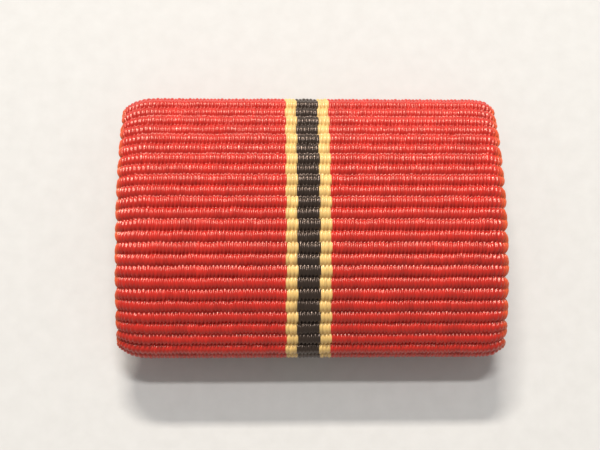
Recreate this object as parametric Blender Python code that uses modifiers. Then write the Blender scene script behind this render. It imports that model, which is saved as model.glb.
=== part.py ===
"""A single service ribbon bar: a ribbon wrapped over a domed carrier, with a brooch pin on its back.

Metres, +Z up. The bar lies on its back: +X runs along its width, +Y towards its top edge and +Z out
of the ribbon's face. The origin is the middle of the box's underside, level with the brooch fitting's
feet. The carrier, the interlining, the back plate and the ribbon all bend about one line along X, the
dome's axis, so each lies on its own radius from that line.
"""

import math

import bmesh
import bpy
from mathutils import Vector

MM = 0.001
JOIN = 0.01 * MM  # points this near are one
GAP = 0.03 * MM  # between solids that touch on the real bar

# Ribbon and dome
RIBBON_WIDTH = 25.0 * MM
RIBBON_THICKNESS = 0.55 * MM
RIBBON_CORNER = 1.2 * MM
TAIL_SLIT = 1.8 * MM  # between the two turned-under ends
DOME_RADIUS = 17.3 * MM  # of the ribbon's face
DOME_HALF_ANGLE = math.radians(28.5)

# Sheets under the ribbon
INTERLINING_THICKNESS = 0.25 * MM
CARRIER_THICKNESS = 0.6 * MM
CARRIER_WIDTH = 22.6 * MM  # narrower than the ribbon, whose soft ends curl over it
CARRIER_CORNER = 1.3 * MM
BACK_THICKNESS = 0.4 * MM
BACK_WIDTH = 21.0 * MM
BACK_LENGTH = 13.0 * MM
BACK_CORNER = 1.5 * MM

# Brooch fitting
PIN_HEIGHT = 1.4 * MM  # of the pin's axis above the feet
STRIP_THICKNESS = 0.4 * MM
STRIP_WIDTH = 3.2 * MM
STRIP_HALF_LENGTH = 10.3 * MM
STRIP_LEVEL = 2.85 * MM  # underside of the strip
STRIP_CORNER = 0.93 * MM
STRIP_SHOULDER = 0.8 * MM  # length over which the strip narrows at its hinge end
SHOULDER_SPACE = 0.6 * MM  # between the shoulder and the ears
HINGE_X = -9.0 * MM
EAR_WIDTH = 2.0 * MM
EAR_THICKNESS = 0.45 * MM
EAR_SPACE = 1.2 * MM  # between the two ears
EAR_CORNER = 0.45 * MM
EAR_MARGIN = 0.05 * MM  # of the strip, past each ear's outer side
RIVET_X = 5.0 * MM
RIVET_RADIUS = 0.6 * MM
RIVET_HEAD = 1.0 * MM
RIVET_CROWN = 0.35 * MM
COUNTERSINK_RISE = 0.3 * MM  # how far the countersink's cone runs on above the plate
HINGE_RIVET_RADIUS = 0.4 * MM
HINGE_RIVET_HEAD = 0.7 * MM
HINGE_RIVET_CROWN = 0.25 * MM

# Pin
PIN_RADIUS = 0.36 * MM
PIN_TIP_X = 10.8 * MM
PIN_TAPER = 2.6 * MM
PIN_POINT_RADIUS = 0.03 * MM
EYE_RADIUS = 0.9 * MM
EYE_THICKNESS = 1.1 * MM
EYE_NECK = 0.8 * MM  # length over which the shank thickens into the eye
EYE_OVERLAP = 0.25 * MM  # how far the neck runs into the eye
NECK_GROWTH = 1.3
TAPER_STEPS = 6

# Catch
CATCH_X = 8.3 * MM
HOUSING_LENGTH = 2.6 * MM
HOUSING_WIDTH = 2.8 * MM
HOUSING_BORE = 0.97 * MM
HOUSING_SLOT = 1.1 * MM
HOUSING_LOWER_CORNER = 0.5 * MM
HOUSING_UPPER_CORNER = 0.25 * MM
SLEEVE_RADIUS = 0.92 * MM
SLEEVE_BORE = 0.5 * MM
SLEEVE_SLOT = 0.9 * MM
FLANGE_RADIUS = 1.2 * MM
FLANGE_THICKNESS = 0.42 * MM
SLEEVE_END_PLAY = 0.05 * MM
LEVER_REACH = 2.3 * MM
LEVER_WIDTH = 0.8 * MM
LEVER_CORNER = 0.35 * MM
LEVER_OVERLAP = 0.25 * MM  # how far the lever runs into the sleeve's wall
LEVER_INSET = 0.02 * MM  # of the lever's sides within the flange's
FLANGE_CHAMFER = 0.07 * MM

# Small dressings and the cutters' reach
EDGE_SOFTENING = 0.06 * MM
OUTLINE_HEIGHT = 20 * MM  # of a cutter that trims a sheet in plan
SLOT_DEPTH = 2 * MM
DRILL_LENGTH = 2 * MM
BORE_LENGTH = 5 * MM

# How finely round shapes are divided
CORNER_STEPS = 8
TURNED_STEPS = 48
PIN_STEPS = 28
FRONT_STEPS = 32
FOLD_STEPS = 10
TAIL_STEPS = 14

# Worked out from the above
STRIP_TOP = STRIP_LEVEL + STRIP_THICKNESS
FRONT_RADIUS = DOME_RADIUS - RIBBON_THICKNESS / 2
INTERLINING_RADIUS = DOME_RADIUS - RIBBON_THICKNESS - GAP - INTERLINING_THICKNESS / 2
CARRIER_RADIUS = INTERLINING_RADIUS - INTERLINING_THICKNESS / 2 - GAP - CARRIER_THICKNESS / 2
TAIL_RADIUS = CARRIER_RADIUS - CARRIER_THICKNESS / 2 - GAP - RIBBON_THICKNESS / 2
BACK_RADIUS = TAIL_RADIUS - RIBBON_THICKNESS / 2 - GAP - BACK_THICKNESS / 2
BACK_INNER_RADIUS = BACK_RADIUS - BACK_THICKNESS / 2
FOLD_RADIUS = (FRONT_RADIUS - TAIL_RADIUS) / 2
FOLD_CENTRE_RADIUS = (FRONT_RADIUS + TAIL_RADIUS) / 2
# The flat strip's two long edges touch the hollow back plate.
STRIP_EDGE_LEVEL = math.sqrt(BACK_INNER_RADIUS**2 - (STRIP_WIDTH / 2) ** 2)
DOME_AXIS_Z = STRIP_TOP + GAP - STRIP_EDGE_LEVEL
RIBBON_LENGTH = 2 * (
    FOLD_CENTRE_RADIUS * math.sin(DOME_HALF_ANGLE) + FOLD_RADIUS + RIBBON_THICKNESS / 2
)


# ---------------------------------------------------------------------------------------- scene


def start_scene():
    """Clears the scene and returns the collections for the bar's pieces and for the cutters."""
    for old in list(bpy.data.objects):
        bpy.data.objects.remove(old, do_unlink=True)
    found = []
    for name in ("ribbon_bar", "cutters"):
        collection = bpy.data.collections.new(name)
        bpy.context.scene.collection.children.link(collection)
        found.append(collection)
    return found


def metal(name, colour, roughness):
    """A bare metal material."""
    return material(name, colour, roughness, 1.0)


def material(name, colour, roughness, metallic=0.0):
    """A Principled material of one colour."""
    made = bpy.data.materials.new(name)
    made.use_nodes = True
    shader = made.node_tree.nodes["Principled BSDF"]
    shader.inputs["Base Color"].default_value = (*colour, 1.0)
    shader.inputs["Roughness"].default_value = roughness
    shader.inputs["Metallic"].default_value = metallic
    return made


def add_piece(name, mesh, finish, place=(0, 0, 0), turn=(0, 0, 0)):
    """A named piece of the bar, made of this mesh."""
    piece = bpy.data.objects.new(name, mesh)
    piece.location = place
    piece.rotation_euler = turn
    mesh.materials.clear()
    mesh.materials.append(finish)
    PIECES.objects.link(piece)
    return piece


def add_cutter(name, mesh, place=(0, 0, 0), turn=(0, 0, 0)):
    """A helper that is joined to a piece or cut from it, and isn't part of the bar."""
    cutter = bpy.data.objects.new(name, mesh)
    cutter.location = place
    cutter.rotation_euler = turn
    cutter.hide_render = True
    cutter.display_type = "WIRE"
    CUTTERS.objects.link(cutter)
    return cutter


# --------------------------------------------------------------------------------------- shapes


def arc(centre, radius, start, end, steps):
    """Points on an arc between two angles, both ends included."""
    turns = [start + (end - start) * step / steps for step in range(steps + 1)]
    return [(centre[0] + radius * math.cos(t), centre[1] + radius * math.sin(t)) for t in turns]


def rounded_outline(corners):
    """An outline through corners (x, y, radius), run anticlockwise, with each corner rounded."""
    outline = []
    for index, (x, y, radius) in enumerate(corners):
        here = Vector((x, y))
        before = (Vector(corners[index - 1][:2]) - here).normalized()
        after = (Vector(corners[(index + 1) % len(corners)][:2]) - here).normalized()
        if radius == 0:
            outline.append((x, y))
            continue
        half = before.angle(after) / 2
        centre = here + (before + after).normalized() * radius / math.sin(half)
        start = here + before * radius / math.tan(half) - centre
        end = here + after * radius / math.tan(half) - centre
        first = math.atan2(start.y, start.x)
        sweep = math.atan2(start.x * end.y - start.y * end.x, start.dot(end))
        outline += arc(centre, radius, first, first + sweep, CORNER_STEPS)
    return outline


def rounded_box(width, length, radius):
    """The outline of a box in plan, about the origin, with round corners."""
    x, y = width / 2, length / 2
    return rounded_outline([(-x, -y, radius), (x, -y, radius), (x, y, radius), (-x, y, radius)])


def plate_mesh(name, outline, thickness):
    """A flat outline in XY, given half of its thickness to each side of Z = 0."""
    curve = bpy.data.curves.new(name, "CURVE")
    curve.dimensions = "2D"
    curve.fill_mode = "BOTH"
    curve.extrude = thickness / 2
    spline = curve.splines.new("POLY")
    spline.points.add(len(outline) - 1)
    for point, (x, y) in zip(spline.points, outline):
        point.co = (x, y, 0, 1)
    spline.use_cyclic_u = True
    holder = bpy.data.objects.new(name, curve)
    bpy.context.scene.collection.objects.link(holder)
    graph = bpy.context.evaluated_depsgraph_get()
    mesh = bpy.data.meshes.new_from_object(holder.evaluated_get(graph))
    bpy.data.objects.remove(holder, do_unlink=True)
    bpy.data.curves.remove(curve)
    mesh.name = name
    shape = bmesh.new()
    shape.from_mesh(mesh)
    bmesh.ops.remove_doubles(shape, verts=shape.verts, dist=JOIN / 10)
    flat = math.radians(1)
    bmesh.ops.dissolve_limit(shape, angle_limit=flat, verts=shape.verts, edges=shape.edges)
    bmesh.ops.recalc_face_normals(shape, faces=shape.faces)
    shape.to_mesh(mesh)
    shape.free()
    return mesh


def rod_mesh(name, radius, length, steps=TURNED_STEPS):
    """A plain rod along Z, about the origin."""
    mesh = bpy.data.meshes.new(name)
    shape = bmesh.new()
    bmesh.ops.create_cone(
        shape, cap_ends=True, segments=steps, radius1=radius, radius2=radius, depth=length
    )
    shape.to_mesh(mesh)
    shape.free()
    return mesh


def block_mesh(name, size):
    """A block about the origin."""
    mesh = bpy.data.meshes.new(name)
    shape = bmesh.new()
    bmesh.ops.create_cube(shape, size=1.0)
    bmesh.ops.scale(shape, vec=size, verts=shape.verts)
    shape.to_mesh(mesh)
    shape.free()
    return mesh


def profile_mesh(name, profile, ring=False):
    """A turned shape's profile of (radius, height), down its outer side. A ring's profile closes."""
    mesh = bpy.data.meshes.new(name)
    shape = bmesh.new()
    points = [shape.verts.new((radius, 0, height)) for radius, height in profile]
    pairs = list(zip(points, points[1:]))
    if ring:
        pairs.append((points[-1], points[0]))
    for pair in pairs:
        shape.edges.new(pair)
    shape.to_mesh(mesh)
    shape.free()
    return mesh


def turn_profile(piece, steps=TURNED_STEPS):
    """Turns the profile about the piece's own Z."""
    screw = piece.modifiers.new("turned", "SCREW")
    screw.steps = steps
    screw.render_steps = steps
    screw.use_merge_vertices = True
    screw.merge_threshold = JOIN


def boolean(piece, cutter, operation="DIFFERENCE"):
    """Cuts the cutter from the piece, joins it on, or keeps what both hold."""
    step = piece.modifiers.new(f"{operation.lower()} {cutter.name}", "BOOLEAN")
    step.operation = operation
    step.object = cutter
    step.solver = "EXACT"


def soften(piece, width, segments=2):
    """Rounds the piece's sharp edges a little."""
    bevel = piece.modifiers.new("soft edges", "BEVEL")
    bevel.width = width
    bevel.segments = segments
    bevel.limit_method = "ANGLE"
    bevel.angle_limit = math.radians(50)


def dome_point(x, arc_length, radius):
    """A point on the dome at this radius, at a distance round it from the bar's middle line."""
    angle = arc_length / radius
    return (x, radius * math.sin(angle), DOME_AXIS_Z + radius * math.cos(angle))


def domed_sheet(name, finish, width, half_arc, radius, thickness, corner, steps):
    """A sheet bent about the dome's axis, with its corners rounded in plan."""
    mesh = bpy.data.meshes.new(name)
    shape = bmesh.new()
    bmesh.ops.create_grid(shape, x_segments=1, y_segments=steps, size=1.0)
    for vert in shape.verts:
        vert.co = dome_point(vert.co.x * width / 2, vert.co.y * half_arc, radius)
    shape.to_mesh(mesh)
    shape.free()
    piece = add_piece(name, mesh, finish)
    thicken(piece, thickness)
    length = 2 * radius * math.sin(half_arc / radius)
    outline = rounded_box(width, length + thickness, corner)
    trim_in_plan(piece, outline)
    return piece


def thicken(piece, thickness):
    """Gives a sheet its thickness, half to each side."""
    solidify = piece.modifiers.new("thickness", "SOLIDIFY")
    solidify.thickness = thickness
    solidify.offset = 0
    solidify.use_even_offset = True


def trim_in_plan(piece, outline):
    """Keeps what lies inside the outline as seen along Z."""
    name = f"{piece.name}_outline"
    trimmer = add_cutter(name, plate_mesh(name, outline, OUTLINE_HEIGHT))
    boolean(piece, trimmer, "INTERSECT")


# --------------------------------------------------------------------------------------- ribbon


def ribbon_stations():
    """Points (y, z) along the middle of the ribbon's thickness, from one end to the other."""
    sin_end, cos_end = math.sin(DOME_HALF_ANGLE), math.cos(DOME_HALF_ANGLE)
    slit_angle = math.asin(TAIL_SLIT / 2 / TAIL_RADIUS)
    half = []
    for step in range(1, FRONT_STEPS // 2 + 1):
        angle = DOME_HALF_ANGLE * step / (FRONT_STEPS // 2)
        half.append((FRONT_RADIUS * math.sin(angle), DOME_AXIS_Z + FRONT_RADIUS * math.cos(angle)))
    for step in range(1, FOLD_STEPS + 1):
        turn = math.pi * step / FOLD_STEPS
        out, along = FOLD_RADIUS * math.cos(turn), FOLD_RADIUS * math.sin(turn)
        y = (FOLD_CENTRE_RADIUS + out) * sin_end + along * cos_end
        z = (FOLD_CENTRE_RADIUS + out) * cos_end - along * sin_end
        half.append((y, DOME_AXIS_Z + z))
    for step in range(1, TAIL_STEPS + 1):
        angle = DOME_HALF_ANGLE + (slit_angle - DOME_HALF_ANGLE) * step / TAIL_STEPS
        half.append((TAIL_RADIUS * math.sin(angle), DOME_AXIS_Z + TAIL_RADIUS * math.cos(angle)))
    middle = [(0.0, DOME_AXIS_Z + FRONT_RADIUS)]
    return [(-y, z) for y, z in reversed(half)] + middle + half


def make_ribbon(finish):
    """The ribbon, wrapped over the dome and turned under at both edges."""
    stations = ribbon_stations()
    mesh = bpy.data.meshes.new("ribbon")
    shape = bmesh.new()
    bmesh.ops.create_grid(shape, x_segments=1, y_segments=len(stations) - 1, size=0.5)
    for vert in shape.verts:
        y, z = stations[round((vert.co.y + 0.5) * (len(stations) - 1))]
        vert.co = (vert.co.x * RIBBON_WIDTH, y, z)
    shape.to_mesh(mesh)
    shape.free()
    piece = add_piece("ribbon", mesh, finish)
    thicken(piece, RIBBON_THICKNESS)
    margin = 1 * MM
    trim_in_plan(piece, rounded_box(RIBBON_WIDTH + margin, RIBBON_LENGTH, RIBBON_CORNER + margin / 2))
    return piece


# ------------------------------------------------------------------------------ sheets and rivets


def make_interlining(finish):
    """The thin stiff layer between the ribbon and the carrier."""
    half_arc = DOME_HALF_ANGLE * INTERLINING_RADIUS
    return domed_sheet(
        "interlining",
        finish,
        CARRIER_WIDTH,
        half_arc,
        INTERLINING_RADIUS,
        INTERLINING_THICKNESS,
        CARRIER_CORNER,
        FRONT_STEPS,
    )


def make_carrier(finish):
    """The domed plate that the ribbon is wrapped over, countersunk for the two rivets."""
    half_arc = DOME_HALF_ANGLE * CARRIER_RADIUS
    piece = domed_sheet(
        "carrier_plate",
        finish,
        CARRIER_WIDTH,
        half_arc,
        CARRIER_RADIUS,
        CARRIER_THICKNESS,
        CARRIER_CORNER,
        FRONT_STEPS,
    )
    outer = RIVET_RADIUS + GAP
    top = rivet_top() + GAP + COUNTERSINK_RISE
    depth = RIVET_HEAD - RIVET_RADIUS + COUNTERSINK_RISE
    bottom = top - BORE_LENGTH
    profile = [
        (0, top),
        (outer + depth, top),
        (outer, top - depth),
        (outer, bottom),
        (0, bottom),
    ]
    for side, x in (("left", -RIVET_X), ("right", RIVET_X)):
        name = f"countersink_{side}"
        countersink = add_cutter(name, profile_mesh(name, profile), (x, 0, 0))
        turn_profile(countersink)
        boolean(piece, countersink)
    return piece


def make_back_plate(finish):
    """The smaller plate that clamps the ribbon's ends to the carrier."""
    piece = domed_sheet(
        "back_plate",
        finish,
        BACK_WIDTH,
        BACK_LENGTH / 2,
        BACK_RADIUS,
        BACK_THICKNESS,
        BACK_CORNER,
        FRONT_STEPS // 2,
    )
    drill_for_rivets(piece, DOME_AXIS_Z + BACK_RADIUS)
    return piece


def drill_for_rivets(piece, level):
    """Two holes through a plate at this level, for the rivets."""
    for side, x in (("left", -RIVET_X), ("right", RIVET_X)):
        name = f"{piece.name}_hole_{side}"
        drill = add_cutter(name, rod_mesh(name, RIVET_RADIUS + GAP, DRILL_LENGTH), (x, 0, level))
        boolean(piece, drill)


def rivet_top():
    """The level of the rivets' countersunk heads, just under the carrier's face."""
    return DOME_AXIS_Z + CARRIER_RADIUS + CARRIER_THICKNESS / 2 - GAP


def crown(radius, height, level, steps=5):
    """The profile of a domed head that hangs below this level, from its rim to its middle."""
    turns = [math.pi / 2 * step / steps for step in range(steps + 1)]
    return [(radius * math.cos(t), level - height * math.sin(t)) for t in turns]


def make_rivets(finish):
    """Two rivets, countersunk in the carrier and domed on the strip."""
    top = rivet_top()
    neck = top - (RIVET_HEAD - RIVET_RADIUS)
    level = STRIP_LEVEL - GAP
    profile = [(0, top), (RIVET_HEAD, top), (RIVET_RADIUS, neck), (RIVET_RADIUS, level)]
    profile += crown(RIVET_HEAD, RIVET_CROWN, level)
    for side, x in (("left", -RIVET_X), ("right", RIVET_X)):
        rivet = add_piece(f"rivet_{side}", profile_mesh(f"rivet_{side}", profile), finish, (x, 0, 0))
        turn_profile(rivet)


def make_hinge_rivet(finish):
    """The rivet that crosses the ears and the pin's eye, with a head at each end."""
    half = EAR_SPACE / 2 + EAR_THICKNESS + GAP
    lower = [(HINGE_RIVET_RADIUS, -half)] + crown(HINGE_RIVET_HEAD, HINGE_RIVET_CROWN, -half)
    upper = [(radius, -height) for radius, height in reversed(lower)]
    mesh = profile_mesh("hinge_rivet", upper + lower)
    along_y = (math.pi / 2, 0, 0)
    rivet = add_piece("hinge_rivet", mesh, finish, (HINGE_X, 0, PIN_HEIGHT), along_y)
    turn_profile(rivet)


# --------------------------------------------------------------------------------- brooch fitting


def make_pin_base(finish):
    """The base strip, narrowed at the hinge end, where its two ears are bent down."""
    narrow = EAR_SPACE / 2 + EAR_THICKNESS + EAR_MARGIN
    wide = STRIP_WIDTH / 2
    shoulder = HINGE_X + EAR_WIDTH / 2 + SHOULDER_SPACE
    shoulder_end = shoulder + STRIP_SHOULDER
    outline = rounded_outline(
        [
            (-STRIP_HALF_LENGTH, -narrow, 0.2 * MM),
            (shoulder, -narrow, 0.4 * MM),
            (shoulder_end, -wide, 0.5 * MM),
            (STRIP_HALF_LENGTH, -wide, STRIP_CORNER),
            (STRIP_HALF_LENGTH, wide, STRIP_CORNER),
            (shoulder_end, wide, 0.5 * MM),
            (shoulder, narrow, 0.4 * MM),
            (-STRIP_HALF_LENGTH, narrow, 0.2 * MM),
        ]
    )
    strip = plate_mesh("pin_base", outline, STRIP_THICKNESS)
    middle = STRIP_LEVEL + STRIP_THICKNESS / 2
    piece = add_piece("pin_base", strip, finish, (0, 0, middle))
    across = EAR_WIDTH / 2
    ear = rounded_outline(
        [
            (-across, -PIN_HEIGHT, EAR_CORNER),
            (across, -PIN_HEIGHT, EAR_CORNER),
            (across, middle - PIN_HEIGHT, 0),
            (-across, middle - PIN_HEIGHT, 0),
        ]
    )
    upright = (math.pi / 2, 0, 0)
    for side, sign in (("front", -1), ("back", 1)):
        name = f"ear_{side}"
        y = sign * (EAR_SPACE + EAR_THICKNESS) / 2
        mesh = plate_mesh(name, ear, EAR_THICKNESS)
        helper = add_cutter(name, mesh, (HINGE_X, y, PIN_HEIGHT), upright)
        boolean(piece, helper, "UNION")
    bore = rod_mesh("hinge_bore", HINGE_RIVET_RADIUS + GAP, BORE_LENGTH)
    boolean(piece, add_cutter("hinge_bore", bore, (HINGE_X, 0, PIN_HEIGHT), upright))
    drill_for_rivets(piece, middle)
    soften(piece, EDGE_SOFTENING)
    return piece


def make_pin(finish):
    """The pin, turned to a point, with a flattened eye. Its origin is on the hinge rivet's axis."""
    tip = PIN_TIP_X - HINGE_X
    root = EYE_RADIUS - EYE_OVERLAP
    profile = [(0, tip)]
    for step in range(TAPER_STEPS + 1):
        share = step / TAPER_STEPS
        radius = PIN_POINT_RADIUS + (PIN_RADIUS - PIN_POINT_RADIUS) * math.sin(math.pi / 2 * share)
        profile.append((radius, tip - PIN_TAPER * share))
    profile += [(PIN_RADIUS, root + EYE_NECK), (PIN_RADIUS * NECK_GROWTH, root), (0, root)]
    along_x = (0, math.pi / 2, 0)
    place = (HINGE_X, 0, PIN_HEIGHT)
    piece = add_piece("pin_stem", profile_mesh("pin_stem", profile), finish, place, along_x)
    turn_profile(piece, PIN_STEPS)
    along_y = (math.pi / 2, 0, 0)
    eye = add_cutter("pin_eye", rod_mesh("pin_eye", EYE_RADIUS, EYE_THICKNESS), place, along_y)
    boolean(piece, eye, "UNION")
    bore = rod_mesh("pin_eye_bore", HINGE_RIVET_RADIUS + GAP, BORE_LENGTH)
    boolean(piece, add_cutter("pin_eye_bore", bore, place, along_y))
    return piece


def make_catch_housing(finish):
    """The block on the strip that holds the turning sleeve. Its opening faces down."""
    half = HOUSING_WIDTH / 2
    top = STRIP_LEVEL - GAP - PIN_HEIGHT
    section = rounded_outline(
        [
            (-half, -PIN_HEIGHT, HOUSING_LOWER_CORNER),
            (half, -PIN_HEIGHT, HOUSING_LOWER_CORNER),
            (half, top, HOUSING_UPPER_CORNER),
            (-half, top, HOUSING_UPPER_CORNER),
        ]
    )
    place = (CATCH_X, 0, PIN_HEIGHT)
    end_on = (math.pi / 2, 0, math.pi / 2)
    mesh = plate_mesh("catch_housing", section, HOUSING_LENGTH)
    piece = add_piece("catch_housing", mesh, finish, place, end_on)
    bore = rod_mesh("housing_bore", HOUSING_BORE, 2 * HOUSING_LENGTH)
    boolean(piece, add_cutter("housing_bore", bore, place, (0, math.pi / 2, 0)))
    slot = block_mesh("housing_slot", (2 * HOUSING_LENGTH, HOUSING_SLOT, SLOT_DEPTH))
    boolean(piece, add_cutter("housing_slot", slot, (CATCH_X, 0, PIN_HEIGHT - SLOT_DEPTH / 2)))
    soften(piece, EDGE_SOFTENING)
    return piece


def make_catch_sleeve(finish):
    """The slotted sleeve that turns in the housing, with a flange at each end and a lever."""
    inner = HOUSING_LENGTH / 2 + SLEEVE_END_PLAY
    outer = inner + FLANGE_THICKNESS
    edge = FLANGE_RADIUS - FLANGE_CHAMFER
    profile = [
        (SLEEVE_BORE, outer),
        (edge, outer),
        (FLANGE_RADIUS, outer - FLANGE_CHAMFER),
        (FLANGE_RADIUS, inner + FLANGE_CHAMFER),
        (edge, inner),
        (SLEEVE_RADIUS, inner),
        (SLEEVE_RADIUS, -inner),
        (edge, -inner),
        (FLANGE_RADIUS, -inner - FLANGE_CHAMFER),
        (FLANGE_RADIUS, FLANGE_CHAMFER - outer),
        (edge, -outer),
        (SLEEVE_BORE, -outer),
    ]
    place = (CATCH_X, 0, PIN_HEIGHT)
    along_x = (0, math.pi / 2, 0)
    mesh = profile_mesh("catch_sleeve", profile, ring=True)
    piece = add_piece("catch_sleeve", mesh, finish, place, along_x)
    turn_profile(piece)
    half = LEVER_WIDTH / 2
    root = SLEEVE_BORE + LEVER_OVERLAP
    lever = rounded_outline(
        [
            (root, -half, 0),
            (LEVER_REACH, -half, LEVER_CORNER),
            (LEVER_REACH, half, LEVER_CORNER),
            (root, half, 0),
        ]
    )
    thickness = FLANGE_THICKNESS - 2 * LEVER_INSET
    lever_place = (CATCH_X + (inner + outer) / 2, 0, PIN_HEIGHT)
    end_on = (math.pi / 2, 0, math.pi / 2)
    lever_cutter = add_cutter("lever", plate_mesh("lever", lever, thickness), lever_place, end_on)
    boolean(piece, lever_cutter, "UNION")
    slot = block_mesh("sleeve_slot", (4 * outer, SLEEVE_SLOT, SLOT_DEPTH))
    boolean(piece, add_cutter("sleeve_slot", slot, (CATCH_X, 0, PIN_HEIGHT - SLOT_DEPTH / 2)))
    return piece


# ------------------------------------------------------------------------------------------ build


def shade(piece):
    """Smooth shading, with the edges between unlike faces kept sharp."""
    piece.data.shade_smooth()
    piece.data.set_sharp_from_angle(angle=math.radians(40))


PIECES, CUTTERS = start_scene()
cloth = material("ribbon_cloth", (0.42, 0.02, 0.03), 0.8)
buckram = material("buckram", (0.75, 0.71, 0.62), 0.9)
nickel = metal("nickel_plate", (0.66, 0.64, 0.6), 0.3)
zinc = metal("carrier_steel", (0.56, 0.56, 0.55), 0.4)
steel = metal("pin_steel", (0.62, 0.63, 0.65), 0.2)
brass = metal("catch_brass", (0.72, 0.56, 0.28), 0.32)
rivet_metal = metal("rivet_steel", (0.7, 0.69, 0.66), 0.28)

make_ribbon(cloth)
make_interlining(buckram)
make_carrier(zinc)
make_back_plate(nickel)
make_rivets(rivet_metal)
make_pin_base(nickel)
make_hinge_rivet(rivet_metal)
make_pin(steel)
make_catch_housing(nickel)
make_catch_sleeve(brass)
for finished in PIECES.objects:
    shade(finished)
bpy.context.view_layer.update()
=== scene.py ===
"""The looks of a service ribbon bar: coarse grosgrain, its interlining, and plated, worn metal parts."""

import math

import bpy
import numpy as np
from mathutils import Matrix, Vector


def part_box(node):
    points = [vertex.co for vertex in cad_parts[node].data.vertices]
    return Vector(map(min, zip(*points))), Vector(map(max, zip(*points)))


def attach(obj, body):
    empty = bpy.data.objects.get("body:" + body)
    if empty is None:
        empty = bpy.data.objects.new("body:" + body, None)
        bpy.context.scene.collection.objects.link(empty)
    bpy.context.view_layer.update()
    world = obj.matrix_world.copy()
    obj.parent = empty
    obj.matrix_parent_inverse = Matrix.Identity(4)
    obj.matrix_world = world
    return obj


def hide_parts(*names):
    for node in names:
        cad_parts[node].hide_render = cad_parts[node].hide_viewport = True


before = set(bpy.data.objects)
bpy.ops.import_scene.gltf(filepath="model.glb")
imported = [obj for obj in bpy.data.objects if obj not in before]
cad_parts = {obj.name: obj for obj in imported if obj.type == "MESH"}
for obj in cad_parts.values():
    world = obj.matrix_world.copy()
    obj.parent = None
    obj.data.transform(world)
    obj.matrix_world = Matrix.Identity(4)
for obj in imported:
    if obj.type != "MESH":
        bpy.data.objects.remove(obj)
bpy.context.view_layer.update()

MM = 0.001
RNG = np.random.default_rng(11)

# The ribbon's path, as the CAD model has it
DOME_RADIUS = 17.3 * MM
DOME_HALF_ANGLE = math.radians(28.5)
RIBBON_THICKNESS = 0.55 * MM
TAIL_SLIT = 1.8 * MM
FRONT_RADIUS = DOME_RADIUS - RIBBON_THICKNESS / 2
TAIL_RADIUS = 15.535 * MM
FOLD_RADIUS = (FRONT_RADIUS - TAIL_RADIUS) / 2
FOLD_CENTRE_RADIUS = (FRONT_RADIUS + TAIL_RADIUS) / 2
RIBBON_LOW, RIBBON_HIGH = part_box("ribbon")
HALF_WIDTH = (RIBBON_HIGH.x - RIBBON_LOW.x) / 2
DOME_AXIS_Z = RIBBON_HIGH.z - DOME_RADIUS
FRONT_HALF = FRONT_RADIUS * DOME_HALF_ANGLE
FOLD_LENGTH = FOLD_RADIUS * math.pi
TAIL_LENGTH = TAIL_RADIUS * (DOME_HALF_ANGLE - math.asin(TAIL_SLIT / 2 / TAIL_RADIUS))
PATH_HALF = FRONT_HALF + FOLD_LENGTH + TAIL_LENGTH

# How the ribbon's two long edges curl down over the carrier's ends: their reach along X, how far they drop
# in front and how far they drop behind. -1 is the left edge, 1 the right one.
CURLS = {-1: (2.2 * MM, 1.0 * MM, 0.30 * MM), 1: (1.1 * MM, 0.75 * MM, 0.25 * MM)}

# The weave. A rib is one pass of the weft, and each thread floats over every other rib as a bead.
RIB_PITCH = 0.740 * MM
RIBS = 2 * math.ceil(PATH_HALF / RIB_PITCH)
STRIPES = (
    ("red", 94),
    ("gold", 6),
    ("black", 12),
    ("gold", 6),
    ("red", 97),
)
THREADS = sum(count for _, count in STRIPES)
RIB_RELIEF = 0.43 * MM
GROOVE_LIMIT = 1.15  # of the relief, the deepest that a groove goes
RIB_SQUARENESS = 2.2  # 2 makes a rib's section an ellipse, more makes it squarer
BEAD_REACH = 0.61  # of a rib, each way from its crest
BEAD_ROUNDING = 0.15 * MM
BEAD_TAPER = 2.0  # how much more each bead rounds off at its ends
BEAD_FULLNESS = 1.15  # threads, half the width of the circle that rounds a bead off
BEAD_LEAN = 0.35  # threads, how far a bead's ends lean over: the upper one to +X, the lower one to -X
BEAD_BOW = 0.3  # threads, how far both ends lie aside, to the other side on every other rib
RIB_WAVER = 0.045  # of a rib, how far it wanders
WAVES = 4  # slow waves that make a rib wander
WAVE_RANGE = (2.0 * MM, 9.0 * MM)  # their lengths
BEAD_WAVER = 0.018  # of a rib
BEAD_UNEVEN = 0.03  # of the relief
BEAD_UNEVEN_LIMITS = (-0.25, 0.12)
THREAD_TONE = 0.03  # how uneven the threads' colours are
THREAD_TONE_LIMITS = (0.9, 1.1)
BEAD_TONE = 0.04
BEAD_TONE_LIMITS = (0.88, 1.12)
SPARE = 2  # ribs and threads past each side of the ribbon that have an unevenness of their own
ROWS_IN_RIB = (-0.5, -0.42, -0.31, -0.16, 0.0, 0.16, 0.31, 0.42)
COLUMNS_IN_THREAD = 3
END_CLEARANCE = 0.1  # of a rib, how far the face's last whole row stays from the ribbon's end
BACK_ROWS_IN_RIB = 3
BACK_COLUMNS_IN_CURL = 9
FLARES = {-1: (0.10 * MM, 0.0), 1: (0.12 * MM, 0.12 * MM)}  # the edges' bulge, how much more at the bottom
TUCKS = {-1: 0.22 * MM, 1: 0.24 * MM}  # how far the folds draw in at the bar's corners
TUCK_REACH = 1.7 * MM  # of each corner, along X
TUCK_LENGTH = 2.5 * MM  # and along the ribbon, before the fold
BOTTOM_TUCK = 0.14 * MM  # the bottom fold is pulled tighter than the top one
BOTTOM_TUCK_LENGTH = 1.6 * MM
SELVEDGE = 0.55 * MM  # the strip where the weft turns back
SELVEDGE_FLATNESS = 0.75  # of the relief, lost at the turns of the weft
SELVEDGE_NOTCH = 1.1  # of the relief, won back between them
SCALLOP = 0.15 * MM  # how far the edge draws in between the turns
SELVEDGE_GLINT_REACH = 1.0 * MM  # how far in the selvedge's painted orange glint reaches
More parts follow.
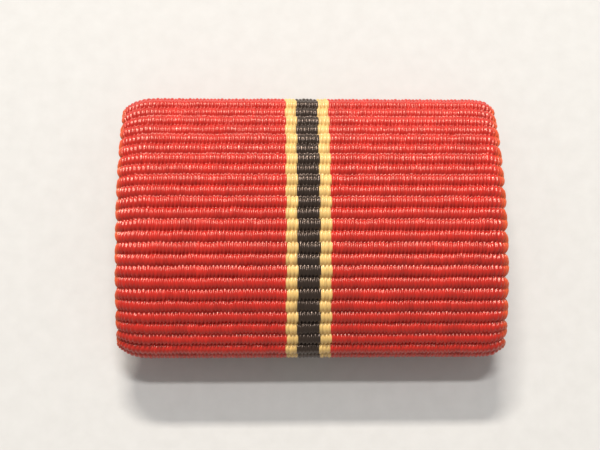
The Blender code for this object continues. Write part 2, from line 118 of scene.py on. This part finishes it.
SELVEDGE_GLINT_SHARE = 0.75
SELVEDGE_GLINT_START = 1.1  # above 1, the outermost threads take the whole share


def curl_length(reach, drop):
    """The length of a quarter of an ellipse."""
    return math.pi / 4 * (3 * (reach + drop) - math.sqrt((3 * reach + drop) * (reach + 3 * drop)))


FLAT_START = {side: HALF_WIDTH - CURLS[side][0] for side in CURLS}
CURL_LENGTH = {side: curl_length(*CURLS[side][:2]) for side in CURLS}
FLAT_LEFT = FLAT_START[-1] + CURL_LENGTH[-1]
FLAT_RIGHT = FLAT_START[1] + CURL_LENGTH[1]
FLAT_WIDTH = FLAT_LEFT + FLAT_RIGHT
THREAD_PITCH = FLAT_WIDTH / THREADS


# ---------------------------------------------------------------- mesh helpers


def smooth_step(value):
    value = np.clip(value, 0, 1)
    return value * value * (3 - 2 * value)


def grid_faces(start, rows, columns, flip=False):
    """Quads of a grid of points numbered row by row from start."""
    row, column = np.meshgrid(np.arange(rows - 1), np.arange(columns - 1), indexing="ij")
    first = (start + row * columns + column).ravel()
    quads = np.stack([first, first + 1, first + columns + 1, first + columns], axis=1)
    return quads[:, ::-1] if flip else quads


def grid_rim(start, rows, columns):
    """The grid's four sides, each a run of point numbers, in the order its quads turn."""
    low = [start + column for column in range(columns)]
    right = [start + row * columns + columns - 1 for row in range(rows)]
    high = [start + (rows - 1) * columns + column for column in reversed(range(columns))]
    left = [start + row * columns for row in reversed(range(rows))]
    return low, right, high, left


def stitch(outer, inner):
    """Triangles between two runs of points that start and end side by side."""
    faces = []
    a, b = 0, 0
    while a < len(outer) - 1 or b < len(inner) - 1:
        along_outer = (a + 1) / (len(outer) - 1)
        along_inner = (b + 1) / (len(inner) - 1)
        if along_outer <= along_inner:
            faces.append((outer[a + 1], outer[a], inner[b]))
            a += 1
        else:
            faces.append((outer[a], inner[b], inner[b + 1]))
            b += 1
    return faces


def sheet_mesh(name, face, back):
    """A closed sheet from two grids of points, its face and its back, each (rows, columns, 3)."""
    face_rows, face_columns = face.shape[:2]
    back_rows, back_columns = back.shape[:2]
    back_start = face_rows * face_columns
    points = np.concatenate([face.reshape(-1, 3), back.reshape(-1, 3)])
    faces = grid_faces(0, face_rows, face_columns).tolist()
    faces += grid_faces(back_start, back_rows, back_columns, flip=True).tolist()
    face_rim = grid_rim(0, face_rows, face_columns)
    back_rim = grid_rim(back_start, back_rows, back_columns)
    for outer, inner in zip(face_rim, back_rim):
        faces += stitch(outer, inner)
    mesh = bpy.data.meshes.new(name)
    mesh.from_pydata(points.tolist(), [], faces)
    mesh.update()
    mesh.shade_smooth()
    return mesh


def add_piece(name, mesh, material):
    piece = bpy.data.objects.new(name, mesh)
    bpy.context.scene.collection.objects.link(piece)
    piece.data.materials.append(material)
    return piece


def corner_means(mesh, values):
    """Each polygon's mean of a value held for each vertex."""
    count = len(mesh.polygons)
    starts = np.empty(count, np.int32)
    totals = np.empty(count, np.int32)
    corners = np.empty(len(mesh.loops), np.int32)
    mesh.polygons.foreach_get("loop_start", starts)
    mesh.polygons.foreach_get("loop_total", totals)
    mesh.loops.foreach_get("vertex_index", corners)
    return np.add.reduceat(values[corners], starts) / totals


def set_attribute(mesh, name, kind, domain, values):
    """A named attribute: values has one row for each face or vertex."""
    attribute = mesh.attributes.new(name, kind, domain)
    field = {"FLOAT_COLOR": "color", "FLOAT_VECTOR": "vector"}[kind]
    attribute.data.foreach_set(field, np.asarray(values, np.float32).ravel())


def set_flat_map(mesh, across, along):
    """A UV map from each vertex's place on the flat cloth."""
    corners = np.empty(len(mesh.loops), np.int32)
    mesh.loops.foreach_get("vertex_index", corners)
    layer = mesh.uv_layers.new(name="flat")
    pairs = np.stack([across[corners], along[corners]], axis=1)
    layer.data.foreach_set("uv", pairs.astype(np.float32).ravel())


# ---------------------------------------------------------------- the ribbon's form


def ribbon_path(along):
    """The middle layer at a length from the bar's centre line: y, z and the outward normal's y, z."""
    run = np.abs(along)
    side = np.where(along < 0, -1.0, 1.0)
    past_fold = run - FRONT_HALF - FOLD_LENGTH
    angle = np.where(run < FRONT_HALF, run / FRONT_RADIUS, DOME_HALF_ANGLE)
    angle = np.where(past_fold > 0, DOME_HALF_ANGLE - past_fold / TAIL_RADIUS, angle)
    turn = np.clip((run - FRONT_HALF) / FOLD_RADIUS, 0, math.pi)
    normal_y = np.cos(turn) * np.sin(angle) + np.sin(turn) * np.cos(angle)
    normal_z = np.cos(turn) * np.cos(angle) - np.sin(turn) * np.sin(angle)
    y = FOLD_CENTRE_RADIUS * np.sin(angle) + FOLD_RADIUS * normal_y
    z = DOME_AXIS_Z + FOLD_CENTRE_RADIUS * np.cos(angle) + FOLD_RADIUS * normal_z
    return side * y, z, side * normal_y, normal_z


def ribbon_points(across, along, depth):
    """Points of the cloth at a flat place and a depth under its face, with its edges curled down."""
    y, z, normal_y, normal_z = ribbon_path(along)
    behind = smooth_step((np.abs(along) - FRONT_HALF) / FOLD_LENGTH)
    towards_bottom = smooth_step(0.5 - along / (2 * FRONT_HALF))
    x = np.array(across, float)
    near_fold = smooth_step((np.abs(along) - FRONT_HALF + TUCK_LENGTH) / TUCK_LENGTH)
    tuck = BOTTOM_TUCK * smooth_step((-along - FRONT_HALF) / BOTTOM_TUCK_LENGTH + 0.5)
    drop = np.zeros_like(x)
    lean_x = np.zeros_like(x)
    lean_out = np.ones_like(x)
    for side, (reach, front_drop, back_drop) in CURLS.items():
        past = side * across - FLAT_START[side]
        inside = past > 0
        turn = np.clip(past / CURL_LENGTH[side], 0, 1) * math.pi / 2
        fall = front_drop + (back_drop - front_drop) * behind
        sideways = np.sin(turn) / reach
        upward = np.cos(turn) / fall
        size = np.hypot(sideways, upward)
        far = reach + FLARES[side][0] + FLARES[side][1] * towards_bottom
        x = np.where(inside, side * (FLAT_START[side] + far * np.sin(turn)), x)
        drop = np.where(inside, fall * (1 - np.cos(turn)), drop)
        lean_x = np.where(inside, side * sideways / size, lean_x)
        lean_out = np.where(inside, upward / size, lean_out)
        corner = np.clip(1 - (HALF_WIDTH - side * x) / TUCK_REACH, 0, 1)
        tuck = tuck + TUCKS[side] * corner ** 2 * near_fold
    y = y - np.sign(along) * tuck
    out = RIBBON_THICKNESS / 2 - drop - depth * lean_out
    return np.stack([x - depth * lean_x, y + out * normal_y, z + out * normal_z], axis=-1)


# The slow waves, and each bead's own unevenness
WAVE_LENGTHS = RNG.uniform(*WAVE_RANGE, WAVES)
WAVE_PHASES = RNG.uniform(0, 2 * math.pi, (RIBS + 2 * SPARE, WAVES))
BEADS = (RIBS + 2 * SPARE, THREADS + 2 * SPARE)
BEAD_SHIFT = RNG.normal(0, BEAD_WAVER, BEADS)
BEAD_HEIGHT = 1 + RNG.normal(0, BEAD_UNEVEN, BEADS).clip(*BEAD_UNEVEN_LIMITS)


def rib_place(along):
    """A length along the ribbon in ribs. The crests lie at whole numbers from 0."""
    return along / RIB_PITCH + (RIBS - 1) / 2


def rib_waver(rib, across):
    """How far a rib wanders from its place, in ribs."""
    total = np.zeros_like(across)
    for wave in range(WAVES):
        total += np.sin(across / WAVE_LENGTHS[wave] * 2 * math.pi + WAVE_PHASES[rib + SPARE, wave])
    return RIB_WAVER * total / WAVES


def weave(across, along):
    """The weave at flat places: depth under the crests, the thread on top, and its rib."""
    place = rib_place(along)
    thread_place = (across + FLAT_LEFT) / THREAD_PITCH - 0.5
    from_left = across + FLAT_LEFT
    from_right = FLAT_RIGHT - across
    nearest = np.rint(place).astype(int)
    best = np.full(across.shape, -1.0)
    top_thread = np.zeros(across.shape, int)
    top_rib = np.zeros(across.shape, int)
    for step in (-1, 0, 1):
        rib = nearest + step
        off_rib = place - rib - rib_waver(rib, across)
        parity = rib % 2
        bow = BEAD_BOW * (1 - 2 * parity) * (2 * off_rib) ** 2
        slanted = thread_place - BEAD_LEAN * (2 * off_rib) ** 3 - bow
        thread = 2 * np.rint((slanted - parity) / 2).astype(int) + parity
        thread = np.clip(thread, 0, THREADS - 1)
        off_thread = np.clip(np.abs(slanted - thread), 0, 1)
        off_bead = off_rib - BEAD_SHIFT[rib + SPARE, thread + SPARE]
        away = np.clip(np.abs(off_bead / BEAD_REACH), 0, 1)
        crown = (1 - away ** RIB_SQUARENESS) ** (1 / RIB_SQUARENESS)
        round_off = (1 - np.sqrt(1 - (off_thread / BEAD_FULLNESS) ** 2)) * (1 + BEAD_TAPER * away ** 2)
        height = RIB_RELIEF * crown * BEAD_HEIGHT[rib + SPARE, thread + SPARE] - BEAD_ROUNDING * round_off
        higher = height > best
        best = np.where(higher, height, best)
        top_thread = np.where(higher, thread, top_thread)
        top_rib = np.where(higher, rib, top_rib)
    depth = RIB_RELIEF - best
    # At each selvedge the weft turns back, so the ribs meet there in pairs
    for from_edge, pair in ((from_left, 0), (from_right, 1)):
        closeness = smooth_step(1 - from_edge / SELVEDGE)
        pairing = 0.5 + 0.5 * np.cos(math.pi * (place - 0.5 - pair))
        depth = depth * (1 - closeness * (SELVEDGE_FLATNESS - SELVEDGE_NOTCH * (1 - pairing)))
    return np.clip(depth, 0, GROOVE_LIMIT * RIB_RELIEF), top_thread, top_rib


def scallop(across, along):
    """How far each selvedge draws in between the turns of the weft."""
    place = rib_place(along)
    shift = np.zeros_like(across)
    for side, flat, pair in ((-1, FLAT_LEFT, 0), (1, FLAT_RIGHT, 1)):
        closeness = smooth_step(1 - (flat - side * across) / SELVEDGE)
        between = 0.5 - 0.5 * np.cos(math.pi * (place - 0.5 - pair))
        shift += closeness * between ** 2 * SCALLOP
    return shift


STRIPE_COLOURS = {
    "red": (0.50, 0.012, 0.006),
    "gold": (0.73, 0.475, 0.16),
    "black": (0.016, 0.010, 0.007),
}
# Painted glint: the orange that the selvedges show where the light catches them, put into the threads'
# colour.
SELVEDGE_GLINT_COLOUR = np.array((0.80, 0.15, 0.03))


def stripe_colours():
    """Each thread's own colour, a little uneven from thread to thread."""
    rows = []
    for name, count in STRIPES:
        rows += [STRIPE_COLOURS[name]] * count
    return np.array(rows) * RNG.normal(1, THREAD_TONE, (THREADS, 1)).clip(*THREAD_TONE_LIMITS)


def make_ribbon(material):
    """The ribbon: a woven face in full relief and a plain back, closed round their rims."""
    row_places = np.array([rib + row for rib in range(RIBS) for row in ROWS_IN_RIB])
    along = (row_places - (RIBS - 1) / 2) * RIB_PITCH
    whole = np.abs(along) < PATH_HALF - END_CLEARANCE * RIB_PITCH
    along = np.concatenate([[-PATH_HALF], along[whole], [PATH_HALF]])
    columns = THREADS * COLUMNS_IN_THREAD + 1
    across = np.linspace(-FLAT_LEFT, FLAT_RIGHT, columns)
    along_grid, across_grid = np.meshgrid(along, across, indexing="ij")
    depth, _, _ = weave(across_grid, along_grid)
    depth = depth + scallop(across_grid, along_grid)
    face = ribbon_points(across_grid, along_grid, depth)

    curl_left = np.linspace(-FLAT_LEFT, -FLAT_START[-1], BACK_COLUMNS_IN_CURL)
    curl_right = np.linspace(FLAT_START[1], FLAT_RIGHT, BACK_COLUMNS_IN_CURL)
    back_across = np.concatenate([curl_left, curl_right])
    back_along = np.linspace(-PATH_HALF, PATH_HALF, BACK_ROWS_IN_RIB * RIBS + 1)
    back_along_grid, back_across_grid = np.meshgrid(back_along, back_across, indexing="ij")
    back = ribbon_points(back_across_grid, back_along_grid, RIBBON_THICKNESS)

    mesh = sheet_mesh("ribbon_cloth", face, back)
    all_across = np.concatenate([across_grid.ravel(), back_across_grid.ravel()])
    all_along = np.concatenate([along_grid.ravel(), back_along_grid.ravel()])
    all_depth = np.concatenate([depth.ravel(), np.full(back_across_grid.size, RIB_RELIEF / 2)])
    set_flat_map(mesh, (all_across + FLAT_LEFT) / FLAT_WIDTH, (all_along + PATH_HALF) / (2 * PATH_HALF))

    face_across = corner_means(mesh, all_across)
    face_along = corner_means(mesh, all_along)
    _, thread, rib = weave(face_across, face_along)
    colours = stripe_colours()[thread]
    bead_tone = RNG.normal(1, BEAD_TONE, (RIBS + 2 * SPARE, THREADS)).clip(*BEAD_TONE_LIMITS)
    colours = colours * bead_tone[rib + SPARE, thread][:, None]
    # Painted glint: towards each selvedge the threads' colour turns to the orange glint.
    from_edge = np.minimum(face_across + FLAT_LEFT, FLAT_RIGHT - face_across)
    edge = SELVEDGE_GLINT_SHARE * smooth_step(SELVEDGE_GLINT_START - from_edge / SELVEDGE_GLINT_REACH)[:, None]
    colours = colours * (1 - edge) + SELVEDGE_GLINT_COLOUR * edge
    opaque = np.ones((len(colours), 1))
    set_attribute(mesh, "thread_colour_and_glint", "FLOAT_COLOR", "FACE", np.hstack([colours, opaque]))
    # The third part, how high the face lies, drives the painted shade in the grooves.
    weave_place = np.stack(
        [
            (all_across + FLAT_LEFT) / THREAD_PITCH,
            all_along / RIB_PITCH,
            1 - np.clip(all_depth / RIB_RELIEF, 0, 1),
        ],
        axis=1,
    )
    set_attribute(mesh, "weave_place", "FLOAT_VECTOR", "POINT", weave_place)
    return add_piece("ribbon_cloth", mesh, material)


# ---------------------------------------------------------------- the interlining's form

BUCKRAM_HALF_WIDTH = 10.7 * MM  # just short of where the ribbon starts to curl
BUCKRAM_THICKNESS = 0.25 * MM
BUCKRAM_RADIUS = 16.72 * MM  # of its face
BUCKRAM_CORNER = 1.3 * MM
BUCKRAM_PITCH = 0.35 * MM  # of its coarse plain weave
BUCKRAM_RELIEF = 0.05 * MM
BUCKRAM_ROWS = 121
BUCKRAM_COLUMNS = 161


def make_interlining(material):
    """Stiff open cloth between ribbon and carrier, bent to the dome, its corners rounded."""
    half_arc = DOME_HALF_ANGLE * BUCKRAM_RADIUS
    along = np.linspace(-half_arc, half_arc, BUCKRAM_ROWS)
    inset = np.clip(BUCKRAM_CORNER - (half_arc - np.abs(along)), 0, None)
    row_half = BUCKRAM_HALF_WIDTH - BUCKRAM_CORNER + np.sqrt(BUCKRAM_CORNER ** 2 - inset ** 2)
    across_grid = row_half[:, None] * np.linspace(-1, 1, BUCKRAM_COLUMNS)[None, :]
    along_grid = np.repeat(along[:, None], BUCKRAM_COLUMNS, axis=1)
    weft = np.cos(math.pi * across_grid / BUCKRAM_PITCH)
    warp = np.cos(math.pi * along_grid / BUCKRAM_PITCH)
    depth = BUCKRAM_RELIEF * (0.5 - 0.5 * weft * warp)
    layers = []
    for radius in (BUCKRAM_RADIUS - depth, BUCKRAM_RADIUS - BUCKRAM_THICKNESS + 0 * depth):
        angle = along_grid / BUCKRAM_RADIUS
        y = radius * np.sin(angle)
        z = DOME_AXIS_Z + radius * np.cos(angle)
        layers.append(np.stack([across_grid, y, z], axis=-1))
    mesh = sheet_mesh("interlining_cloth", *layers)
    both_across = np.concatenate([across_grid.ravel()] * 2)
    both_along = np.concatenate([along_grid.ravel()] * 2)
    set_flat_map(mesh, (both_across / BUCKRAM_HALF_WIDTH + 1) / 2, (both_along / half_arc + 1) / 2)
    weave_place = np.stack([both_across, both_along, 0 * both_along], axis=1) / BUCKRAM_PITCH
    set_attribute(mesh, "weave_place", "FLOAT_VECTOR", "POINT", weave_place)
    return add_piece("interlining_cloth", mesh, material), (2 * BUCKRAM_HALF_WIDTH, 2 * half_arc)


# ---------------------------------------------------------------- materials

NOISE_MIDDLE = (0.3, 0.7)  # where nearly all of a noise's values lie


def new_material(name, colour, roughness, metallic=0.0):
    """A material with these values on its shader's own sockets, and the shader."""
    material = bpy.data.materials.new(name)
    material.use_nodes = True
    shader = material.node_tree.nodes["Principled BSDF"]
    shader.inputs["Base Color"].default_value = (*colour, 1)
    shader.inputs["Roughness"].default_value = roughness
    shader.inputs["Metallic"].default_value = metallic
    return material, shader


def node(tree, kind, inputs=None, **settings):
    """A new node. Each input is a value, or another node's output to link."""
    made = tree.nodes.new(kind)
    for key, value in settings.items():
        setattr(made, key, value)
    for key, value in (inputs or {}).items():
        if isinstance(value, bpy.types.NodeSocket):
            tree.links.new(value, made.inputs[key])
        else:
            made.inputs[key].default_value = value
    return made


def scaled(tree, vector, scale):
    """The vector with each part multiplied."""
    return node(tree, "ShaderNodeVectorMath", {0: vector, 1: scale}, operation="MULTIPLY").outputs[0]


def noise(tree, vector, scale=1.0, detail=3.0, roughness=0.55):
    """A noise from 0 to 1."""
    made = node(
        tree,
        "ShaderNodeTexNoise",
        {"Vector": vector, "Scale": scale, "Detail": detail, "Roughness": roughness},
    )
    return made.outputs["Fac"]


def spread(tree, value, low, high, to_low=0.0, to_high=1.0):
    """The value's stretch from low to high, mapped onto another and held at its ends."""
    made = node(
        tree,
        "ShaderNodeMapRange",
        {"Value": value, "From Min": low, "From Max": high, "To Min": to_low, "To Max": to_high},
    )
    return made.outputs[0]


def mix_colours(tree, share, first, second):
    """Two colours mixed by a share."""
    made = tree.nodes.new("ShaderNodeMix")
    made.data_type = "RGBA"
    for index, value in ((0, share), (6, first), (7, second)):
        if isinstance(value, bpy.types.NodeSocket):
            tree.links.new(value, made.inputs[index])
        else:
            made.inputs[index].default_value = value
    return made.outputs[2]


def ribbon_material():
    """Silky red, gold and black threads: their colours with the painted selvedge glint, their filaments,
    and painted shade in the grooves.
    """
    material, shader = new_material("ribbon_threads", (0.5, 0.01, 0.02), 0.42)
    tree = material.node_tree
    colour = node(tree, "ShaderNodeAttribute", attribute_name="thread_colour_and_glint").outputs["Color"]
    place = node(tree, "ShaderNodeAttribute", attribute_name="weave_place").outputs["Vector"]
    lift = node(tree, "ShaderNodeSeparateXYZ", {0: place}).outputs[2]
    filaments = noise(tree, scaled(tree, place, (5.0, 0.25, 0.0)), detail=2.0)
    patches = noise(tree, scaled(tree, place, (0.06, 0.16, 0.0)), detail=2.0)
    tone = spread(tree, filaments, *NOISE_MIDDLE, 0.80, 1.14)
    patch_tone = spread(tree, patches, *NOISE_MIDDLE, 0.90, 1.08)
    # Painted shade: the colour darkens to 0.6 of itself where the face lies deep, in the grooves between
    # ribs and beads.
    painted_groove_shade = spread(tree, lift, 0.1, 0.8, 0.6, 1.0)
    total = node(tree, "ShaderNodeMath", {0: tone, 1: patch_tone}, operation="MULTIPLY").outputs[0]
    total = node(tree, "ShaderNodeMath", {0: total, 1: painted_groove_shade}, operation="MULTIPLY").outputs[0]
    shaded = node(tree, "ShaderNodeVectorMath", {0: colour, "Scale": total}, operation="SCALE").outputs[0]
    tree.links.new(shaded, shader.inputs["Base Color"])
    rough = spread(tree, filaments, *NOISE_MIDDLE, 0.33, 0.24)
    tree.links.new(rough, shader.inputs["Roughness"])
    shader.inputs["Specular IOR Level"].default_value = 0.9
    shader.inputs["Specular Tint"].default_value = (1.0, 0.77, 0.64, 1)
    shader.inputs["Sheen Weight"].default_value = 0.03
    shader.inputs["Sheen Roughness"].default_value = 0.4
    bump = node(tree, "ShaderNodeBump", {"Height": filaments, "Strength": 0.3, "Distance": 0.02 * MM})
    tree.links.new(bump.outputs[0], shader.inputs["Normal"])
    return material


def buckram_material():
    """Stiff, off-white, sized cotton in a coarse weave."""
    material, shader = new_material("buckram", (0.55, 0.50, 0.40), 0.85)
    tree = material.node_tree
    place = node(tree, "ShaderNodeAttribute", attribute_name="weave_place").outputs["Vector"]
    fibres = noise(tree, scaled(tree, place, (3.0, 3.0, 0.0)), detail=4.0)
    colour = mix_colours(tree, fibres, (0.34, 0.30, 0.23, 1), (0.72, 0.67, 0.56, 1))
    tree.links.new(colour, shader.inputs["Base Color"])
    bump = node(tree, "ShaderNodeBump", {"Height": fibres, "Strength": 0.5, "Distance": 0.03 * MM})
    tree.links.new(bump.outputs[0], shader.inputs["Normal"])
    shader.inputs["Sheen Weight"].default_value = 0.2
    return material


METAL_GRAIN = (900.0, 6000.0, 6000.0)  # of the grain's noise, drawn out along X
TARNISH_SHADE = 0.42  # of the metal's colour
PIT_SHADE = 0.2


def metal_material(name, colour, worn, roughness, tarnish=0.5):
    """Rolled or turned metal: fine grain along X, cloudy tarnish, handling marks and paler worn edges."""
    material, shader = new_material(name, colour, roughness, metallic=1.0)
    tree = material.node_tree
    place = node(tree, "ShaderNodeTexCoord").outputs["Object"]
    clouds = noise(tree, place, scale=420.0, detail=5.0, roughness=0.62)
    specks = noise(tree, place, scale=3800.0, detail=2.0, roughness=0.5)
    grain_lines = noise(tree, scaled(tree, place, METAL_GRAIN), detail=2.0)
    dull = spread(tree, clouds, 0.42, 0.72, 0.0, tarnish)
    tarnished = tuple(TARNISH_SHADE * part for part in colour)
    pit = tuple(PIT_SHADE * part for part in colour)
    edge = node(tree, "ShaderNodeNewGeometry").outputs["Pointiness"]
    edge_wear = spread(tree, edge, 0.52, 0.60)
    base = mix_colours(tree, dull, (*colour, 1), (*tarnished, 1))
    base = mix_colours(tree, edge_wear, base, (*worn, 1))
    pitted = spread(tree, specks, 0.66, 0.74, 0.0, 0.6)
    base = mix_colours(tree, pitted, base, (*pit, 1))
    tree.links.new(base, shader.inputs["Base Color"])
    rough = node(
        tree,
        "ShaderNodeMath",
        {
            0: spread(tree, clouds, 0.35, 0.75, roughness * 0.8, roughness * 1.5),
            1: spread(tree, grain_lines, *NOISE_MIDDLE, -0.06, 0.08),
        },
        operation="ADD",
    ).outputs[0]
    tree.links.new(rough, shader.inputs["Roughness"])
    marks = node(tree, "ShaderNodeMath", {0: grain_lines, 1: specks}, operation="ADD").outputs[0]
    bump = node(tree, "ShaderNodeBump", {"Height": marks, "Strength": 0.25, "Distance": 0.01 * MM})
    tree.links.new(bump.outputs[0], shader.inputs["Normal"])
    return material


# ---------------------------------------------------------------- pieces

ribbon = make_ribbon(ribbon_material())
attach(ribbon, "bar")
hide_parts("ribbon")

interlining, interlining_flat = make_interlining(buckram_material())
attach(interlining, "bar")
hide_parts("interlining")

METALS = {
    "steel": metal_material("zinced_steel", (0.50, 0.51, 0.52), (0.72, 0.72, 0.70), 0.34, tarnish=0.7),
    "nickel": metal_material("nickel_plate", (0.64, 0.61, 0.56), (0.76, 0.68, 0.50), 0.26),
    "pin": metal_material("pin_wire", (0.70, 0.69, 0.67), (0.80, 0.79, 0.76), 0.20, tarnish=0.3),
    "brass": metal_material("brass", (0.72, 0.50, 0.20), (0.88, 0.70, 0.36), 0.28, tarnish=0.6),
}
METAL_OF = {
    "carrier_plate": "steel",
    "back_plate": "nickel",
    "pin_base": "nickel",
    "catch_housing": "nickel",
    "rivet_left": "steel",
    "rivet_right": "steel",
    "hinge_rivet": "steel",
    "pin_stem": "pin",
    "catch_sleeve": "brass",
}
for name, metal in METAL_OF.items():
    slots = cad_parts[name].data.materials
    slots.clear()
    slots.append(METALS[metal])

# ---------------------------------------------------------------- floor, light and camera

FLOOR_HALF = 1.5
FLOOR_DROP = 0.02 * MM  # under the bar's feet
LIGHT_TARGET = (0, 0, 3 * MM)
LIGHT_DISTANCE = 0.5
SOFTBOX_WIDTH = 0.16
SOFTBOX_HEIGHT = 0.03
SKY_LIGHT = 0.37
SKY_COLOUR = (1.0, 0.98, 0.96)
KEY_COLOUR = (1.0, 0.95, 0.88)
CAMERA_LENS = 60  # in mm, as Blender wants it
CAMERA_SENSOR = 36
CAMERA_DISTANCE = 64.7 * MM
CAMERA_TILT = math.radians(10.0)
CAMERA_SIDE = math.radians(-2.0)
CAMERA_AIM = Vector((-0.73, -0.19, 4.5)) * MM


def make_floor():
    material, shader = new_material("pale_floor", (0.62, 0.61, 0.59), 0.8)
    tree = material.node_tree
    place = node(tree, "ShaderNodeTexCoord").outputs["Object"]
    grain = noise(tree, place, scale=900.0, detail=4.0)
    colour = mix_colours(tree, grain, (0.58, 0.57, 0.55, 1), (0.66, 0.65, 0.63, 1))
    tree.links.new(colour, shader.inputs["Base Color"])
    mesh = bpy.data.meshes.new("floor")
    corners = [(FLOOR_HALF * x, FLOOR_HALF * y, 0) for x, y in ((-1, -1), (1, -1), (1, 1), (-1, 1))]
    mesh.from_pydata(corners, [], [(0, 1, 2, 3)])
    floor = add_piece("floor", mesh, material)
    floor.location.z = -FLOOR_DROP


def aim(thing, place, target):
    """Puts a light or camera at a place, looking at a target, its own X as near the bar's as it goes."""
    back = (Vector(place) - Vector(target)).normalized()
    right = (Vector((1, 0, 0)) - back.x * back).normalized()
    turn = Matrix((right, back.cross(right), back)).transposed().to_4x4()
    thing.matrix_world = Matrix.Translation(place) @ turn


def add_light(name, elevation, azimuth, power, colour=(1, 1, 1)):
    """A softbox. Its azimuth is 0 towards +Y, the bar's top edge, and grows towards +X."""
    lamp = bpy.data.lights.new(name, "AREA")
    lamp.shape = "RECTANGLE"
    lamp.size = SOFTBOX_WIDTH
    lamp.size_y = SOFTBOX_HEIGHT
    lamp.energy = power
    lamp.color = colour
    holder = bpy.data.objects.new(name, lamp)
    bpy.context.scene.collection.objects.link(holder)
    flat = math.cos(math.radians(elevation)) * LIGHT_DISTANCE
    turn = math.radians(azimuth)
    height = math.sin(math.radians(elevation)) * LIGHT_DISTANCE
    aim(holder, (flat * math.sin(turn), flat * math.cos(turn), height), LIGHT_TARGET)


def make_light():
    world = bpy.data.worlds.new("studio")
    bpy.context.scene.world = world
    world.use_nodes = True
    sky = world.node_tree.nodes["Background"]
    sky.inputs["Color"].default_value = (*SKY_COLOUR, 1)
    sky.inputs["Strength"].default_value = SKY_LIGHT
    add_light("key", elevation=39, azimuth=-8, power=2.6, colour=KEY_COLOUR)
    add_light("second", elevation=64, azimuth=4, power=1.2)


def make_camera():
    lens = bpy.data.cameras.new("camera")
    lens.lens = CAMERA_LENS
    lens.sensor_width = CAMERA_SENSOR
    lens.clip_start = 1 * MM
    lens.clip_end = 10
    camera = bpy.data.objects.new("camera", lens)
    bpy.context.scene.collection.objects.link(camera)
    back = Vector((math.tan(CAMERA_SIDE), -math.tan(CAMERA_TILT), 1)).normalized()
    aim(camera, CAMERA_AIM + CAMERA_DISTANCE * back, CAMERA_AIM)
    bpy.context.scene.camera = camera


make_floor()
make_light()
make_camera()
bpy.context.scene.view_settings.view_transform = "Standard"
